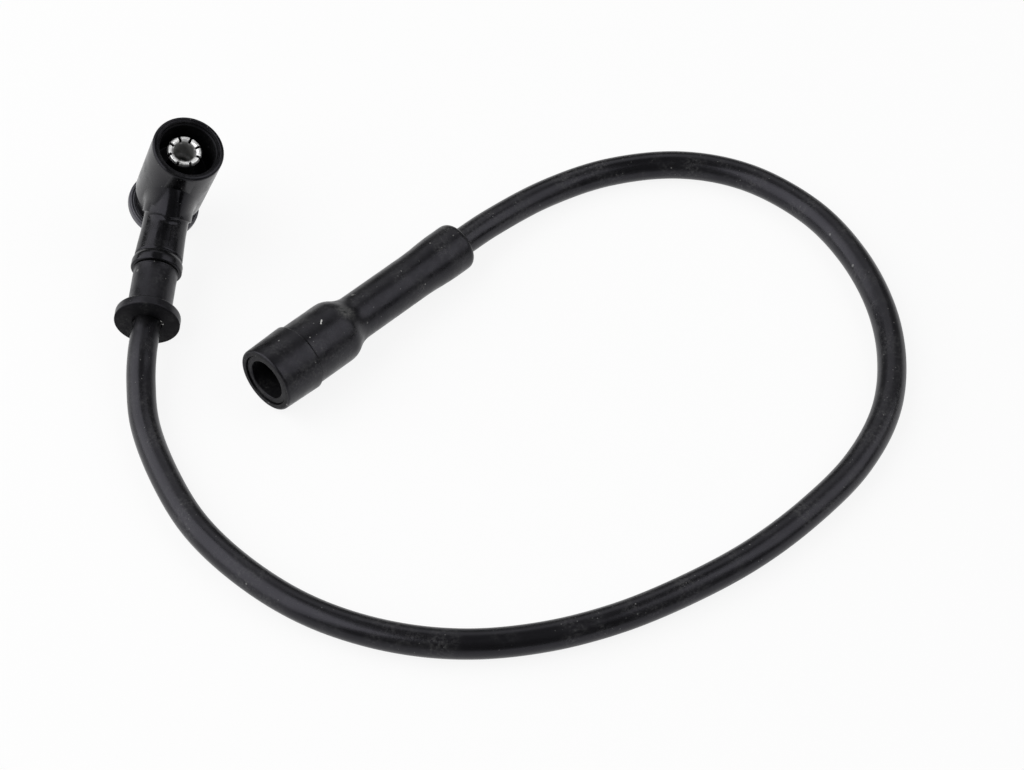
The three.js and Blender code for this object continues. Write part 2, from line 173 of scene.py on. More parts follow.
def rod(name, radius, low, high, along="Z", count=128):
    return lathe(name, [(0, low), (radius, low), (radius, high), (0, high)], along, count)


def apply_modifiers(thing):
    """Puts the object's modifiers into its mesh."""
    shown = thing.evaluated_get(bpy.context.evaluated_depsgraph_get())
    mesh = bpy.data.meshes.new_from_object(shown)
    thing.modifiers.clear()
    old = thing.data
    thing.data = mesh
    bpy.data.meshes.remove(old)
    mesh.name = thing.name


def combine(thing, operation, *others):
    """Joins other closed meshes to the object, or cuts them out of it, and removes them."""
    for other in others:
        step = thing.modifiers.new(operation.lower(), "BOOLEAN")
        step.operation = operation
        step.solver = "EXACT"
        step.object = other
    apply_modifiers(thing)
    for other in others:
        bpy.data.objects.remove(other)


def bent(point):
    """Where the cable's pull takes a point of the neck seal or of the cable in it.

    Both are in the elbow's frame, in metres."""
    along = point.x - SEAL_START * MM
    if along <= 0:
        return point.copy()
    length = SEAL_BEND_LENGTH * MM
    angle = SEAL_BEND * min(along / length, 1)
    beyond = max(along - length, 0)
    arc_radius = length / SEAL_BEND
    reach = arc_radius - point.z
    return Vector((
        SEAL_START * MM + reach * math.sin(angle) + beyond * math.cos(angle),
        point.y,
        arc_radius - reach * math.cos(angle) + beyond * math.sin(angle),
    ))


def place(thing, pose, sharp=32, shape=Vector.copy):
    """Shapes a mesh and moves it from its connector's frame to the frame of the whole lead.

    Its attribute lay keeps where each point was before."""
    mesh = thing.data
    lay = mesh.attributes.new("lay", "FLOAT_VECTOR", "POINT")
    for vertex in mesh.vertices:
        lay.data[vertex.index].vector = vertex.co
        vertex.co = shape(vertex.co)
    mesh.transform(pose)
    mesh.shade_smooth()
    mesh.set_sharp_from_angle(angle=math.radians(sharp))
    return thing


# Node tools

class Finish:
    """A material in the making: its nodes, with the coordinates that its patterns read."""

    def __init__(self, name, coordinates="lay"):
        self.material = bpy.data.materials.new(name)
        self.material.use_nodes = True
        self.tree = self.material.node_tree
        self.tree.nodes.clear()
        self.shader = self.node("ShaderNodeBsdfPrincipled")
        output = self.node("ShaderNodeOutputMaterial")
        self.link(self.shader.outputs["BSDF"], output.inputs["Surface"])
        if coordinates == "lay":
            self.at = self.node("ShaderNodeAttribute", attribute_name="lay").outputs["Vector"]
        else:
            self.at = self.node("ShaderNodeTexCoord").outputs["Object"]

    def node(self, kind, inputs=(), **settings):
        made = self.tree.nodes.new(kind)
        for key, value in settings.items():
            setattr(made, key, value)
        for key, value in dict(inputs).items():
            if isinstance(value, bpy.types.NodeSocket):
                self.link(value, made.inputs[key])
            else:
                made.inputs[key].default_value = value
        return made

    def link(self, output, socket):
        self.tree.links.new(output, socket)

    def stretched(self, scale):
        """The coordinates, with each axis scaled: a small number draws a pattern out along that axis."""
        return self.node("ShaderNodeMapping", {"Vector": self.at, "Scale": scale}).outputs["Vector"]

    def noise(self, size, detail=4, rough=0.55, at=None):
        """Noise with features of that size in millimetres."""
        return self.node("ShaderNodeTexNoise", {
            "Vector": at or self.at, "Scale": 1 / (size * MM), "Detail": detail, "Roughness": rough,
        }).outputs["Fac"]

    def ramp(self, value, low, high, to_low=0.0, to_high=1.0):
        """value from low..high brought to to_low..to_high, smoothly and clamped."""
        return self.node("ShaderNodeMapRange", {
            "Value": value, "From Min": low, "From Max": high, "To Min": to_low, "To Max": to_high,
        }, interpolation_type="SMOOTHSTEP").outputs["Result"]

    def maths(self, operation, a, b=0.0):
        return self.node("ShaderNodeMath", {0: a, 1: b}, operation=operation).outputs["Value"]

    def mix(self, amount, a, b):
        """One colour turning into another."""
        return self.node("ShaderNodeMix", {"Factor": amount, 6: a, 7: b}, data_type="RGBA").outputs[2]

    def axes(self):
        """The coordinates' x, y and z."""
        parts = self.node("ShaderNodeSeparateXYZ", {"Vector": self.at})
        return [parts.outputs[axis] for axis in "XYZ"]

    def across(self, a, b):
        """The distance to an axis, from the two coordinates across it."""
        squares = self.maths("MULTIPLY", a, a), self.maths("MULTIPLY", b, b)
        return self.maths("SQRT", self.maths("ADD", *squares))

    def distance(self, spot):
        """The distance to a spot (x, y, z), which is given in millimetres."""
        return self.node("ShaderNodeVectorMath", {
            0: self.at, 1: Vector(spot) * MM,
        }, operation="DISTANCE").outputs["Value"]

    def specks(self, spacing, size, share):
        """A mask of small round specks, in that share of the cells of a pattern of that spacing."""
        cells = self.node("ShaderNodeTexVoronoi", {
            "Vector": self.at, "Scale": 1 / (spacing * MM), "Randomness": 1.0,
        })
        lot = self.node("ShaderNodeSeparateColor", {"Color": cells.outputs["Color"]})
        chosen = self.maths("GREATER_THAN", lot.outputs["Red"], 1 - share)
        reach = self.maths("MULTIPLY", lot.outputs["Green"], size / spacing)
        near = self.maths("LESS_THAN", cells.outputs["Distance"], reach)
        return self.maths("MULTIPLY", chosen, near)

    def marks(self, size, *spots):
        """A mask of single marks of about that radius, with ragged edges, one on each spot."""
        ragged = self.ramp(self.noise(0.4, 3), 0.3, 0.7, 0.55 * size * MM, 1.2 * size * MM)
        found = None
        for spot in spots:
            near = self.maths("LESS_THAN", self.distance(spot), ragged)
            found = self.maths("MAXIMUM", found, near) if found else near
        return found

    def patch(self, size, spot):
        """A mask of that radius that fades out round one spot."""
        return self.ramp(self.distance(spot), 0.3 * size * MM, size * MM, 1, 0)

    def bump(self, *layers):
        """Bumps from pairs (height 0..1, depth in millimetres), one on the other."""
        normal = None
        for height, depth in layers:
            made = self.node("ShaderNodeBump", {
                "Height": height, "Strength": 1.0, "Distance": depth * MM,
            })
            if normal:
                self.link(normal, made.inputs["Normal"])
            normal = made.outputs["Normal"]
        self.link(normal, self.shader.inputs["Normal"])


def grey(value):
    """A slightly cool grey."""
    return (value, value, value * 1.1, 1)


COOL = (0.88, 0.86, 1, 1)
# The dust's colour, which on the boot also paints a highlight along the top of its step
DUST_AND_HIGHLIGHT = (0.16, 0.16, 0.155, 1)
SPECK = (0.3, 0.3, 0.29, 1)
FLECK = (0.5, 0.5, 0.48, 1)


def dark_moulding(name, colour, dust, roughness, grain, shine, coordinates="lay", streaks=(1, 1, 1),
                  dull=None, dull_shine=0.12, marks=None):
    """Black plastic or rubber: cloudy colour, uneven gloss, fine grain, and dust on it.

    colour is a grey's value, dust the strength of the dust film, which on the boot also carries a painted
    highlight, grain the bumps' depth in millimetres, and shine the specular level. dull is a function of
    the finish that masks a place, such as the inside of a bore, where the specular level is dull_shine.
    marks is one that gives a mask of flecks and one of dust, which on the boot also holds a painted
    highlight."""
    f = Finish(name, coordinates)
    clouds = f.noise(7, 3)
    fine = f.noise(0.5, 5, 0.6, f.stretched(streaks))
    dust_film_and_highlight = f.maths("MULTIPLY", f.ramp(clouds, 0.42, 0.7), f.ramp(f.noise(0.8, 6, 0.7), 0.4, 0.8, 0, 0.6))
    specks = f.maths("MAXIMUM", f.specks(2.4, 0.42, 0.09), f.specks(0.9, 0.15, 0.2))
    # On the boot the marks add a painted highlight along the top of the step to the dust film
    if marks:
        flecks, spread_dust_and_highlight = marks(f)
        dust_and_step_highlight = f.maths("MULTIPLY", spread_dust_and_highlight, f.ramp(f.noise(0.5, 5, 0.7), 0.35, 0.65))
        dust_film_and_highlight = f.maths("MAXIMUM", dust_film_and_highlight, dust_and_step_highlight)
    base = f.mix(f.ramp(clouds, 0.3, 0.7), grey(colour), grey(colour * 1.8))
    dusted_and_highlit = f.mix(f.maths("MULTIPLY", dust_film_and_highlight, dust), base, DUST_AND_HIGHLIGHT)
    spotted = f.mix(f.maths("MULTIPLY", specks, 0.4), dusted_and_highlit, SPECK)
    if marks:
        spotted = f.mix(flecks, spotted, FLECK)
    f.link(spotted, f.shader.inputs["Base Color"])
    uneven = f.noise(2.5, 5, 0.6, f.stretched(streaks))
    gloss = f.ramp(uneven, 0.3, 0.7, roughness - 0.06, roughness + 0.08)
    rough = f.maths("ADD", gloss, f.maths("MULTIPLY", dust_film_and_highlight, 0.4))
    if dull:
        inside = dull(f)
        rough = f.maths("ADD", rough, f.maths("MULTIPLY", inside, 0.3))
        f.link(f.ramp(inside, 0, 1, shine, dull_shine), f.shader.inputs["Specular IOR Level"])
    else:
        f.shader.inputs["Specular IOR Level"].default_value = shine
    f.link(rough, f.shader.inputs["Roughness"])
    f.shader.inputs["Specular Tint"].default_value = COOL
    f.bump((fine, grain), (f.noise(3, 2), grain * 3), (specks, 0.03))
    return f.material


# Materials

def socket_hollow(f):
    """The socket's wall and floor."""
    x, y, z = f.axes()
    near_axis = f.ramp(f.across(x, y), (SOCKET_RADIUS + 0.2) * MM, (SOCKET_RADIUS + 0.5) * MM, 1, 0)
    above_floor = f.maths("GREATER_THAN", z, (SOCKET_FLOOR - 0.5) * MM)
    return f.maths("MULTIPLY", near_axis, above_floor)


def boot_hollow(f):
    """The boot's inside, and less strongly the faces of its mouth and of its liner."""
    x, y, z = f.axes()
    distance = f.across(y, z)
    in_bore = f.ramp(distance, (LINER_BORE_RADIUS + 0.1) * MM, (LINER_BORE_RADIUS + 0.4) * MM, 1, 0)
    bore = f.maths("MULTIPLY", in_bore, f.ramp(x, 0.5 * MM, 1.5 * MM))
    in_mouth = f.ramp(distance, (BOOT_MOUTH_RADIUS - 0.6) * MM, (BOOT_MOUTH_RADIUS - 0.3) * MM, 1, 0)
    face = f.maths("MULTIPLY", f.ramp(x, 0.05 * MM, 0.2 * MM, 0.7, 0), in_mouth)
    in_liner = f.ramp(distance, (LINER_RADIUS - 0.1) * MM, LINER_RADIUS * MM, 1, 0)
    at_liner = f.ramp(x, (LINER_START + 0.02) * MM, (LINER_START + 0.2) * MM, 0.6, 0)
    liner_face = f.maths("MULTIPLY", at_liner, in_liner)
    return f.maths("MAXIMUM", bore, f.maths("MAXIMUM", face, liner_face))


def boot_marks(f):
    """A fleck and crumbs on the boot, dust on its shoulder, and a painted highlight along the top of its
    step.
    """
    fleck = f.marks(0.24, (17.3, -1.2, 8), (17.55, -1, 8), (17.8, -0.85, 8), (18.05, -0.65, 8))
    crumbs = f.marks(
        0.2, (12.5, -2.5, 7.6), (6.1, 1.4, 8.2), (44.8, -0.6, 5.7), (56.4, 1.1, 6), (48.3, -5.3, 2.1))
    x, y = f.axes()[:2]
    # A lighter line along the top side of the step, mixed in with the dust: a painted highlight of the
    # step's edge
    from_step = f.ramp(x, (BOOT_STEP - 0.3) * MM, (BOOT_STEP - 0.1) * MM)
    near_step = f.ramp(x, (BOOT_STEP + 0.3) * MM, (BOOT_STEP + 0.7) * MM, 1, 0)
    at_step = f.maths("MULTIPLY", from_step, near_step)
    step_top_highlight = f.maths("MULTIPLY", at_step, f.ramp(y, -2.5 * MM, -0.5 * MM))
    broken_step_highlight = f.maths("MULTIPLY", step_top_highlight, f.ramp(f.noise(5, 2), 0.35, 0.5))
    dust_and_step_highlight = f.maths("MAXIMUM", broken_step_highlight, f.patch(3.4, (24.9, -1.8, 7)))
    return f.maths("MAXIMUM", fleck, f.maths("MULTIPLY", crumbs, 0.5)), dust_and_step_highlight


def collar_face(f):
    """The dull moulded face of the neck seal's collar."""
    return f.ramp(f.axes()[0], (SEAL_END - 0.5) * MM, (SEAL_END - 0.2) * MM)


def collar_marks(f):
    """Two crumbs beside the cable, with dust round them."""
    return f.marks(0.3, (42, 2.9, 2.4), (42, 3.6, 1.4)), f.patch(1, (42, 3, 2))


plastic = dark_moulding("connector_plastic", colour=0.0025, dust=0.2, roughness=0.2, grain=0.005,
                        shine=0.23, dull=socket_hollow, dull_shine=0.15)
# The cap's plastic is a lighter grey than the connector's: painted light that stands for the reflection
# on the cap's face
cap_plastic_painted_light = dark_moulding("cap_plastic_painted_light", colour=0.04, dust=0.6, roughness=0.34, grain=0.008, shine=0.5)
rubber = dark_moulding("boot_rubber", colour=0.004, dust=0.6, roughness=0.31, grain=0.012,
                       shine=0.3, dull=boot_hollow, marks=boot_marks)
seal_rubber = dark_moulding("seal_rubber", colour=0.003, dust=0.6, roughness=0.33, grain=0.012,
                            shine=0.34, dull=collar_face, marks=collar_marks)
jacket = dark_moulding("cable_jacket", colour=0.003, dust=0.6, roughness=0.3, grain=0.01,
                       shine=0.36, streaks=(0.1, 1, 1))
inner_jacket = dark_moulding("cable_jacket_inside", colour=0.004, dust=0.5, roughness=0.45, grain=0.01,
                             shine=0.3, coordinates="object")


# Painted shade on the spring socket: grey on the inside of the cup, near black on its outside deep in the
# socket
SHADED_INSIDE_STEEL = (0.38, 0.38, 0.375, 1)
SHADED_OUTSIDE_STEEL = (0.05, 0.05, 0.05, 1)


def metal(name, colour, tarnish, roughness, coordinates="lay", painted_shade=None):
    """Sheet or wire with stains and uneven gloss.

    Its last argument is a function of the finish that masks where shade is painted: a greyer inside and a
    darker outside."""
    f = Finish(name, coordinates)
    stain = f.ramp(f.noise(1.8, 5, 0.65), 0.45, 0.75)
    plain = f.mix(stain, colour, tarnish)
    rough = f.ramp(f.noise(0.6, 4), 0.3, 0.7, roughness, roughness + 0.18)
    if painted_shade:
        inside, outside = painted_shade(f)
        plain = f.mix(inside, plain, SHADED_INSIDE_STEEL)
        plain = f.mix(outside, plain, SHADED_OUTSIDE_STEEL)
        rough = f.maths("ADD", rough, f.maths("MULTIPLY", f.maths("MAXIMUM", inside, outside), 0.2))
    f.link(plain, f.shader.inputs["Base Color"])
    f.link(rough, f.shader.inputs["Roughness"])
    f.shader.inputs["Metallic"].default_value = 1
    f.bump((f.noise(0.25, 3), 0.004))
    return f.material


def clip_painted_shade(f):
    """Masks of painted shade: the spring socket's inside, painted greyer, and its outside below the lip,
    painted dark.
    """
    x, y, z = f.axes()
    distance = f.across(x, y)
    below = f.ramp(z, (HEAD_TOP - 3.2) * MM, (HEAD_TOP - 2.7) * MM, 1, 0)
    inside = f.ramp(distance, 2.75 * MM, 2.95 * MM, 1, 0)
    outside = f.maths("MULTIPLY", f.ramp(distance, 2.9 * MM, 3 * MM), below)
    return inside, outside


STEEL = (0.93, 0.93, 0.93, 1)
STEEL_STAIN = (0.8, 0.8, 0.79, 1)
WIRE = (0.86, 0.87, 0.88, 1)
WIRE_STAIN = (0.62, 0.62, 0.62, 1)
BRASS = (0.62, 0.46, 0.2, 1)
BRASS_STAIN = (0.3, 0.2, 0.09, 1)
steel = metal("spring_steel", STEEL, STEEL_STAIN, roughness=0.36, painted_shade=clip_painted_shade)
wire = metal("spring_wire", WIRE, WIRE_STAIN, roughness=0.2)
brass = metal("brass", BRASS, BRASS_STAIN, roughness=0.28)
inner_brass = metal("brass_inside", BRASS, BRASS_STAIN, roughness=0.28, coordinates="object")


def dress(piece, material, slot_name, *nodes):
    """Gives a piece its material and body, and hides the CAD nodes that it stands for. slot_name is not
    used.
    """
    piece.data.materials.clear()
    piece.data.materials.append(material)
    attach(piece, "root")
    if nodes:
        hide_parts(*nodes)


# Ignition cable, laid along the route of the CAD tube

CABLE_ROUTE = [
    (-40.5, -3.6, 7), (-46, -9.2, 5.5), (-53, -18.2, 4), (-60.5, -33.7, 3.6), (-65.5, -50.2, 3.6),
    (-66.5, -69.2, 3.6), (-63.8, -86.7, 3.6), (-56.8, -103.4, 3.6), (-46.5, -117.4, 3.6),
    (-33, -128.7, 3.6), (-17.5, -137.2, 3.6), (0, -143.3, 3.6), (17.5, -147.2, 3.6), (36, -148.5, 3.6),
    (54.5, -147.2, 3.6), (71.5, -141.7, 3.6), (85.4, -132.1, 3.6), (96.9, -119.1, 3.6),
    (105.5, -102.7, 3.6), (109.5, -85.7, 3.6), (107.5, -66.5, 3.6), (99.3, -51.8, 3.6),
    (84.9, -40.4, 3.6), (68.4, -34.2, 3.8), (50, -32.2, 5.2),
]
CABLE_SIDES = 40
CABLE_STEPS = 700
leaves_elbow = ELBOW @ bent(Vector((SEAL_END * MM, 0, 0)))
leaves_coil = COIL @ Vector((BOOT_LENGTH * MM, 0, 0))
cable_line = spline_through(
    [leaves_elbow, *(Vector(p) * MM for p in CABLE_ROUTE), leaves_coil], CABLE_STEPS)


def tube(name, line, radius, sides):
    """A closed tube along a line, with a frame that doesn't twist. lay is (length, across, up)."""
    vertices, lays, faces = [], [], []
    side = Vector((0, 0, 1))
    length = 0
    for i, point in enumerate(line):
        ahead = (line[min(i + 1, len(line) - 1)] - line[max(i - 1, 0)]).normalized()
        side = (side - ahead * side.dot(ahead)).normalized()
        other = ahead.cross(side)
        if i:
            length += (point - line[i - 1]).length
        for k in range(sides):
            angle = 2 * math.pi * k / sides
            across, up = radius * math.cos(angle), radius * math.sin(angle)
            vertices.append(point + side * across + other * up)
            lays.append(Vector((length, across, up)))
    for i in range(len(line) - 1):
        for k in range(sides):
            n = (k + 1) % sides
            faces.append((i * sides + k, i * sides + n, (i + 1) * sides + n, (i + 1) * sides + k))
    faces.append(tuple(reversed(range(sides))))
    faces.append(tuple(range((len(line) - 1) * sides, len(line) * sides)))
    thing = mesh_object(name, vertices, faces)
    lay = thing.data.attributes.new("lay", "FLOAT_VECTOR", "POINT")
    for i, value in enumerate(lays):
        lay.data[i].vector = value
    thing.data.shade_smooth()
    thing.data.set_sharp_from_angle(angle=math.radians(40))
    return thing, length


cable, cable_length = tube("cable", cable_line, CABLE_RADIUS * MM, CABLE_SIDES)
dress(cable, jacket, "cable_jacket", "ignition_cable")


# Elbow housing: a head with a wider rim, and a neck that meets it in a fillet

MOUTH_RADIUS = 8.95
RIM_RADIUS = 8.5
RIM_FOOT = -4.8
DRUM_RADIUS = 7.4
NECK_RADIUS = 5.55
NECK_END_RADIUS = 5.95
LIP_RADIUS = 6.3
ROOT_RADIUS = 6.15
ROOT_SUNK = 0.45
ROOT_EDGE_DROP = 0.05
ROOT_EDGE_LENGTH = 0.1
ROOT_BULGE = 0.3
ROOT_END = 10
ROOT_SLANT = 3.5
ROOT_STEP_REACH = 0.4
ROOT_STEP_REACH_TOP = 1
ROOT_STEPS = 5
FILLET_TOP = 5
FILLET_FOOT = 1.2
FILLET_FILL = 0.8
FILLET_STEPS = 10
FILLET_SINK = 0.03
LIP_LENGTH = 2.2
REAR_BORE_RADIUS = 5.5
REAR_BORE_TOP = 4.5
NECK_BORE_RADIUS = 4.9
RIVET_RADIUS = 1.1
RIVET_HOLE_RADIUS = RIVET_RADIUS + GAP
HEAD_TAPER = (MOUTH_RADIUS - RIM_RADIUS) / (HEAD_TOP - RIM_FOOT)


def neck_solid(name, ends, count=128):
    """The neck about X, from a thicker root that ends in a slanting step.

    A ball rolled round the root makes a fillet with the head. Towards the mouth it is largest and
    filled until it is nearly a straight ramp. ends are the neck's (radius, x) after the step."""
    vertices, faces = [], []
    rows = FILLET_STEPS + 2 + ROOT_STEPS + 2 + len(ends)
    for k in range(count):
        angle = 2 * math.pi * k / count
        around = Vector((0, math.cos(angle), math.sin(angle)))
        fillet = FILLET_FOOT + (FILLET_TOP - FILLET_FOOT) * (1 + around.z) / 2
        up = max(around.z, 0)
        root = ROOT_RADIUS + ROOT_BULGE * up ** 2
        ball = around * (root + fillet)
        head_radius = RIM_RADIUS + HEAD_TAPER * (ball.z - RIM_FOOT) - FILLET_SINK
        ball.x = math.sqrt((head_radius + fillet) ** 2 - ball.y ** 2)
        to_head = Vector((-ball.x, -ball.y, HEAD_TAPER * math.hypot(ball.x, ball.y))).normalized()
        to_neck = -around
        on_head = ball + to_head * fillet
        vertices.append(Vector((0, 0, ball.z)) * ROOT_SUNK + on_head * (1 - ROOT_SUNK))
        fill = FILLET_FILL * (1 + around.z) / 2
        for i in range(FILLET_STEPS + 1):
            t = i / FILLET_STEPS
            hollow = to_head.slerp(to_neck, t)
            ramp = to_head.lerp(to_neck, t)
            vertices.append(ball + hollow.lerp(ramp, fill) * fillet)
        root_end = max(ball.x + 0.2, ROOT_END + ROOT_SLANT * around.z)
        reach = ROOT_STEP_REACH + ROOT_STEP_REACH_TOP * up
        vertices.append(around * root + Vector((root_end - ROOT_EDGE_LENGTH, 0, 0)))
        for i in range(ROOT_STEPS + 1):
            turn = math.pi / 2 * i / ROOT_STEPS
            r = NECK_RADIUS + (root - ROOT_EDGE_DROP - NECK_RADIUS) * (1 - math.sin(turn))
            vertices.append(around * r + Vector((root_end + reach * (1 - math.cos(turn)), 0, 0)))
        for r, x in ends:
            vertices.append(around * r + Vector((x, 0, 0)))
    for k in range(count):
        n = (k + 1) % count
        for i in range(rows - 1):
            faces.append((k * rows + i, n * rows + i, n * rows + i + 1, k * rows + i + 1))
    faces.append(tuple(k * rows for k in reversed(range(count))))
    faces.append(tuple(k * rows + rows - 1 for k in range(count)))
    return mesh_object(name, [v * MM for v in vertices], faces)


head = lathe("elbow_housing_shell", rounded([
    (0, HEAD_FOOT),
    (DRUM_RADIUS, HEAD_FOOT, 0.4),
    (DRUM_RADIUS, RIM_FOOT, 0.5),
    (RIM_RADIUS, RIM_FOOT, 0.5),
    (MOUTH_RADIUS, HEAD_TOP, 0.9),
    (8.05, HEAD_TOP, 0.1),
    (7.95, HEAD_TOP - 0.15, 0.1),
    (0, HEAD_TOP - 0.15),
]))
neck = neck_solid("neck", rounded([
    (NECK_RADIUS + 0.02, ROOT_END + ROOT_SLANT + ROOT_STEP_REACH + ROOT_STEP_REACH_TOP + 0.3),
    (NECK_END_RADIUS, NECK_LENGTH - 3.6, 0.3),
    (NECK_END_RADIUS - 0.25, NECK_LENGTH - 3.3, 0.2),
    (LIP_RADIUS, NECK_LENGTH - LIP_LENGTH, 0.5),
    (LIP_RADIUS, NECK_LENGTH, 0.5),
    (NECK_BORE_RADIUS + GAP, NECK_LENGTH),
], 5))
socket = lathe("socket", rounded([
    (0, SOCKET_FLOOR),
    (SOCKET_RADIUS, SOCKET_FLOOR, 0.5),
    (SOCKET_RADIUS, HEAD_TOP - 1.1, 0.15),
    (7.35, HEAD_TOP - 0.75, 0.15),
    (7.35, HEAD_TOP - 0.4, 0.1),
    (7.6, HEAD_TOP + 0.2),
    (0, HEAD_TOP + 0.2),
]))
rear_bore = rod("rear_bore", REAR_BORE_RADIUS, HEAD_FOOT - 1, REAR_BORE_TOP)
neck_bore = rod("neck_bore", NECK_BORE_RADIUS, 0, NECK_LENGTH + 1, "X")
rivet_hole = rod("rivet_hole", RIVET_HOLE_RADIUS, 0, SOCKET_FLOOR + 1.3, count=48)
combine(head, "UNION", neck)
combine(head, "DIFFERENCE", socket, rear_bore, neck_bore, rivet_hole)
place(head, ELBOW)
dress(head, plastic, "connector_plastic", "elbow_housing")


# Rear cap: a round lid with two raised rings, on a hollow spigot

CAP_TOP = HEAD_FOOT - GAP
CAP_THICKNESS = 1.8
CAP_RADIUS = 8.95
SPIGOT_RADIUS = REAR_BORE_RADIUS - GAP
SPIGOT_BORE_RADIUS = 4.2
SPIGOT_TOP = CAP_TOP + 3.2
cap = lathe("rear_cap_lid", rounded([
    (0, CAP_TOP - CAP_THICKNESS),
    (CAP_RADIUS, CAP_TOP - CAP_THICKNESS, 0.5),
    (CAP_RADIUS, CAP_TOP, 0.35),
    (8.6, CAP_TOP, 0.05),
    (8.5, CAP_TOP + 0.26, 0.16),
    (8.2, CAP_TOP + 0.26, 0.16),
    (8.1, CAP_TOP, 0.05),
    (7.95, CAP_TOP, 0.05),
    (7.85, CAP_TOP + 0.2, 0.12),
    (7.6, CAP_TOP + 0.2, 0.12),
    (7.5, CAP_TOP, 0.05),
    (SPIGOT_RADIUS, CAP_TOP),
    (SPIGOT_RADIUS, SPIGOT_TOP, 0.4),
    (SPIGOT_BORE_RADIUS, SPIGOT_TOP),
    (SPIGOT_BORE_RADIUS, CAP_TOP),
    (0, CAP_TOP),
]))
place(cap, ELBOW)
dress(cap, cap_plastic_painted_light, "connector_plastic", "rear_cap")


# Neck seal: a rubber sleeve in the neck, with a round collar where the cable comes out

SEAL_RADIUS = 5.4
SEAL_PLUG_RADIUS = NECK_BORE_RADIUS - GAP
SEAL_PLUG_START = SEAL_START - 4.6
SEAL_BEND_STEPS = 6
COLLAR_RADIUS = 8
COLLAR_BACK = SEAL_END - 2.8
bend_steps = [SEAL_START + SEAL_BEND_LENGTH * k / SEAL_BEND_STEPS for k in range(1, SEAL_BEND_STEPS + 1)]
seal = lathe("neck_seal_sleeve", rounded([
    (CABLE_HOLE_RADIUS, SEAL_PLUG_START),
    (SEAL_PLUG_RADIUS, SEAL_PLUG_START, 0.3),
    (SEAL_PLUG_RADIUS, SEAL_START - 0.25),
    (SEAL_RADIUS + 0.1, SEAL_START - 0.25, 0.08),
    (SEAL_RADIUS + 0.1, SEAL_START + 0.2, 0.1),
    (SEAL_RADIUS, SEAL_START + 0.3),
]) + [Vector((SEAL_RADIUS, x)) for x in bend_steps] + rounded([
    (SEAL_RADIUS, SEAL_START + 5),
    (SEAL_RADIUS, COLLAR_BACK, 0.9),
    (COLLAR_RADIUS, COLLAR_BACK, 0.6),
    (COLLAR_RADIUS, SEAL_END, 0.45),
    (3.62, SEAL_END, 0.1),
    (3.58, SEAL_END - 0.6),
    (CABLE_HOLE_RADIUS, SEAL_END - 1.5),
]) + [Vector((CABLE_HOLE_RADIUS, x)) for x in reversed(bend_steps)], "X")
place(seal, ELBOW, shape=bent)
dress(seal, seal_rubber, "boot_rubber", "neck_seal")


# Spring socket and coil terminal: sheet cups whose walls are slotted into petals

SHEET_BEVEL = 0.07


def slotted_cup(name, points, slots, slot_width, first_open, wall, along="Z", columns=10):
    """Sheet metal turned from a middle line (radius, height), slotted from the row first_open on."""
    vertices, faces = [], []
    rows = len(points)
    for k in range(slots):
        for i, (r, h) in enumerate(points):
            half = math.asin(slot_width / 2 / r) if i >= first_open else 0
            low, high = 2 * math.pi * k / slots + half, 2 * math.pi * (k + 1) / slots - half
            for c in range(columns + 1):
                angle = low + (high - low) * c / columns
                vertices.append((r * math.cos(angle), r * math.sin(angle), h))
    for k in range(slots):
        for i in range(rows - 1):
            for c in range(columns):
                at = (k * rows + i) * (columns + 1) + c
                faces.append((at, at + 1, at + columns + 2, at + columns + 1))
    if along == "X":
        vertices = [(z, y, -x) for x, y, z in vertices]
    thing = mesh_object(name, [Vector(v) * MM for v in vertices], faces)
    weld = thing.modifiers.new("weld", "WELD")
    weld.merge_threshold = 0.01 * MM
    thick = thing.modifiers.new("thick", "SOLIDIFY")
    thick.thickness = wall * MM
    thick.offset = 0
    thick.use_even_offset = True
    bevel = thing.modifiers.new("bevel", "BEVEL")
    bevel.width = SHEET_BEVEL * MM
    bevel.segments = 2
    bevel.limit_method = "ANGLE"
    bevel.angle_limit = math.radians(50)
    apply_modifiers(thing)
    return thing


CLIP_WALL = 0.45
CLIP_LEAN = math.radians(4.5)
CLIP_TURN = math.radians(-15)
CLIP_SLOTS = 8
CLIP_SLOT_WIDTH = 0.7
CLIP_FIRST_OPEN = 26
CLIP_FOOT = SOCKET_FLOOR + GAP + CLIP_WALL / 2
CLIP_TOP = HEAD_TOP - 1.5 - CLIP_WALL / 2
CLIP_HEIGHT = CLIP_TOP - CLIP_FOOT
petal = [Vector(p) for p in (
    (2.7, CLIP_FOOT),
    (3.1, CLIP_FOOT + 0.16 * CLIP_HEIGHT),
    (3.0, CLIP_FOOT + 0.4 * CLIP_HEIGHT),
    (2.7, CLIP_FOOT + 0.72 * CLIP_HEIGHT),
    (2.85, CLIP_TOP - 0.7),
    (3.3, CLIP_TOP - 0.1),
    (3.75, CLIP_TOP),
    (4.15, CLIP_TOP - 0.6),
)]
clip_line = [Vector((1.5, CLIP_FOOT)), Vector((2.2, CLIP_FOOT)), *spline_through(petal, 42)]
clip = slotted_cup("spring_socket", clip_line, CLIP_SLOTS, CLIP_SLOT_WIDTH, CLIP_FIRST_OPEN, CLIP_WALL)
clip_tilt = Matrix.Rotation(CLIP_LEAN, 4, "X") @ Matrix.Rotation(CLIP_TURN, 4, "Z")
clip_foot = Matrix.Translation((0, 0, CLIP_FOOT * MM))
place(clip, ELBOW @ clip_foot @ clip_tilt @ clip_foot.inverted(), sharp=40)
dress(clip, steel, "spring_steel", "socket_clip")

